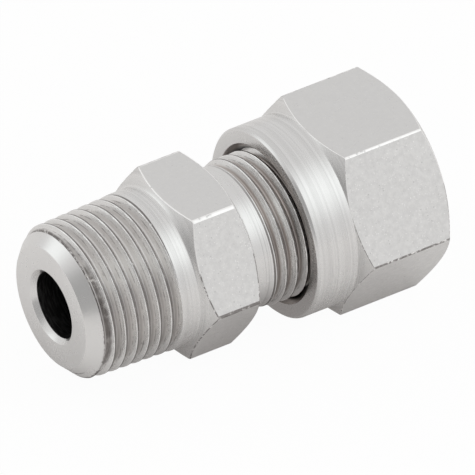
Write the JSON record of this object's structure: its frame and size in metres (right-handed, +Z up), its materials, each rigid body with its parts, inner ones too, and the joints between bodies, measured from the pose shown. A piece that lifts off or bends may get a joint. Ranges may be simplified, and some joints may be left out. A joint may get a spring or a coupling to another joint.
{
  "type": "male stud coupling",
  "caption": "Straight compression coupling: a male taper-thread stud and hexagon body, with a union nut and cutting ring that grip a tube.",
  "frame": {"origin": "on the axis, at the centre of the stud's end face", "axes": "+X along the fitting's axis from the stud towards the union nut and the tube, +Z up, square to one flat of each hexagon; the part lies on its side"},
  "size_m": [0.0413, 0.0236, 0.0206],
  "materials": {
    "body_steel": "satin plated steel, turned and cold drawn",
    "ring_steel": "turned steel",
    "nut_steel": "satin plated steel, turned and cold drawn"
  },
  "bodies": {
    "body": {"stud_body": "body_steel"},
    "ring": {"cutting_ring": "ring_steel"},
    "nut": {"union_nut": "nut_steel"}
  },
  "joints": [
    {"name": "ring_travel", "type": "slide", "parent": "body", "child": "ring", "axis": [1, 0, 0], "range_m": [0, 0.00445]},
    {"name": "nut_turn", "type": "hinge", "parent": "ring", "child": "nut", "pos_m": [0.0333, 0, 0], "axis": [1, 0, 0], "range_deg": [0, 1260]}
  ],
  "couplings": [
    {"joint": "ring_travel", "follows": "nut_turn", "m_per_rad": 0.00020213}
  ]
}
